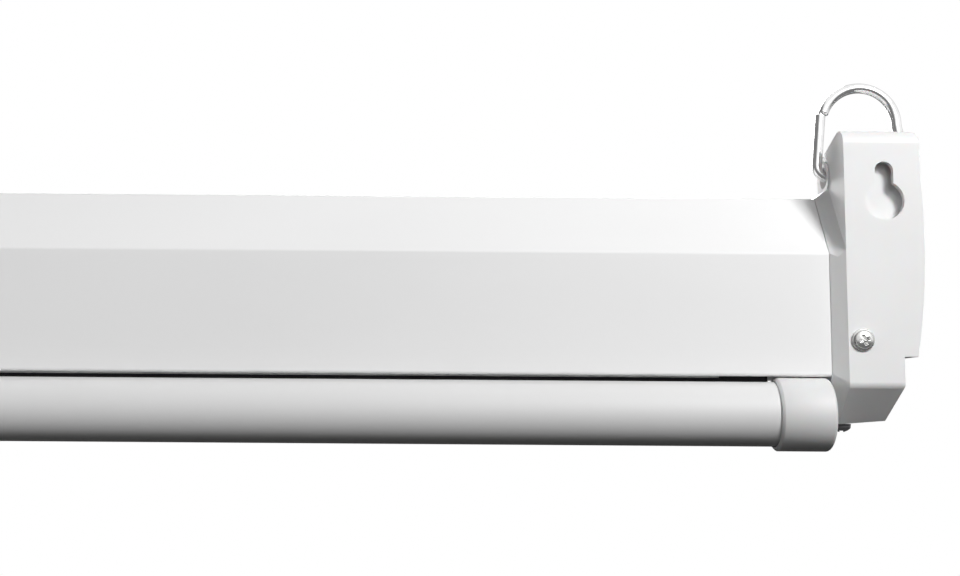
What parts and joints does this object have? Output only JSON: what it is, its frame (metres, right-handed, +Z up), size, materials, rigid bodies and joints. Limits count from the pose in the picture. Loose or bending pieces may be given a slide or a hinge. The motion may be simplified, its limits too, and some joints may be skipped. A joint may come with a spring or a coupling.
{
  "type": "pull down projector screen",
  "caption": "Wall or ceiling projection screen: spring roller in a sloped white case, weight bar with a pull handle, keyhole ears and hanging rings.",
  "frame": {"origin": "middle of the case's flat back, at mid length and mid height of the case", "axes": "+X along the case towards the end with the spring drive, +Y out of the back towards the wall, +Z up"},
  "size_m": [1.4438, 0.0788, 0.2023],
  "materials": {
    "case_paint": "white satin powder coat",
    "cap_plastic": "white moulded, fine texture",
    "ring_chrome": "bright plated wire",
    "zinc_steel": "zinc plated",
    "spring_steel": "oiled spring wire",
    "nylon": "natural moulded",
    "screen_fabric": "matt white coated cloth with a black border and back",
    "bar_paint": "white satin powder coat"
  },
  "bodies": {
    "housing": {"case_extrusion": "case_paint", "end_cap_right": "cap_plastic", "end_cap_left": "cap_plastic", "bracket_right": "zinc_steel", "bracket_left": "zinc_steel", "front_screw_right": "zinc_steel", "front_screw_left": "zinc_steel", "bottom_screw_right": "zinc_steel", "bottom_screw_left": "zinc_steel", "spring_shaft": "zinc_steel", "spring_anchor": "zinc_steel", "torsion_spring": "spring_steel", "ratchet_wheel": "zinc_steel", "idle_bush": "nylon"},
    "roller": {"roller_tube": "zinc_steel", "roller_head": "nylon", "spring_plug": "nylon", "idle_plug": "nylon", "idle_pin": "zinc_steel", "fabric_roll": "screen_fabric", "pawl_pin_a": "zinc_steel", "pawl_pin_b": "zinc_steel"},
    "pawl_upper": {"pawl_a": "zinc_steel"},
    "pawl_lower": {"pawl_b": "zinc_steel"},
    "weight_bar": {"weight_bar_tube": "bar_paint", "hem_rod": "zinc_steel", "bar_cap_right": "cap_plastic", "bar_cap_left": "cap_plastic", "fabric_drop": "screen_fabric", "handle_saddle": "cap_plastic", "saddle_screw_a": "zinc_steel", "saddle_screw_b": "zinc_steel"},
    "handle": {"pull_handle": "cap_plastic"},
    "hanging_ring_right": {"ring_right": "ring_chrome"},
    "hanging_ring_left": {"ring_left": "ring_chrome"}
  },
  "joints": [
    {"name": "pull_down", "type": "slide", "parent": "housing", "child": "weight_bar", "axis": [0, 0, -1], "range_m": [0, 1.3723], "deforming": ["fabric_drop"]},
    {"name": "roller_spin", "type": "hinge", "parent": "housing", "child": "roller", "pos_m": [0, -0.04298, 0], "axis": [1, 0, 0], "range_deg": [0, 4321]},
    {"name": "pawl_swing_upper", "type": "hinge", "parent": "roller", "child": "pawl_upper", "pos_m": [0.6666, -0.04298, 0.0126], "axis": [1, 0, 0], "range_deg": [-17, 0]},
    {"name": "pawl_swing_lower", "type": "hinge", "parent": "roller", "child": "pawl_lower", "pos_m": [0.6666, -0.04298, -0.0126], "axis": [1, 0, 0], "range_deg": [-17, 0]},
    {"name": "handle_swing", "type": "hinge", "parent": "weight_bar", "child": "handle", "pos_m": [0, -0.064, -0.0744], "axis": [1, 0, 0], "range_deg": [-80, 80]},
    {"name": "ring_swing_right", "type": "hinge", "parent": "housing", "child": "hanging_ring_right", "pos_m": [0.7013, -0.0475, 0.0473], "axis": [1, 0, 0], "range_deg": [-90, 30]},
    {"name": "ring_swing_left", "type": "hinge", "parent": "housing", "child": "hanging_ring_left", "pos_m": [-0.7013, -0.0475, 0.0473], "axis": [1, 0, 0], "range_deg": [-90, 30]}
  ],
  "couplings": [
    {"joint": "roller_spin", "follows": "pull_down", "rad_per_m": 54.945}
  ]
}
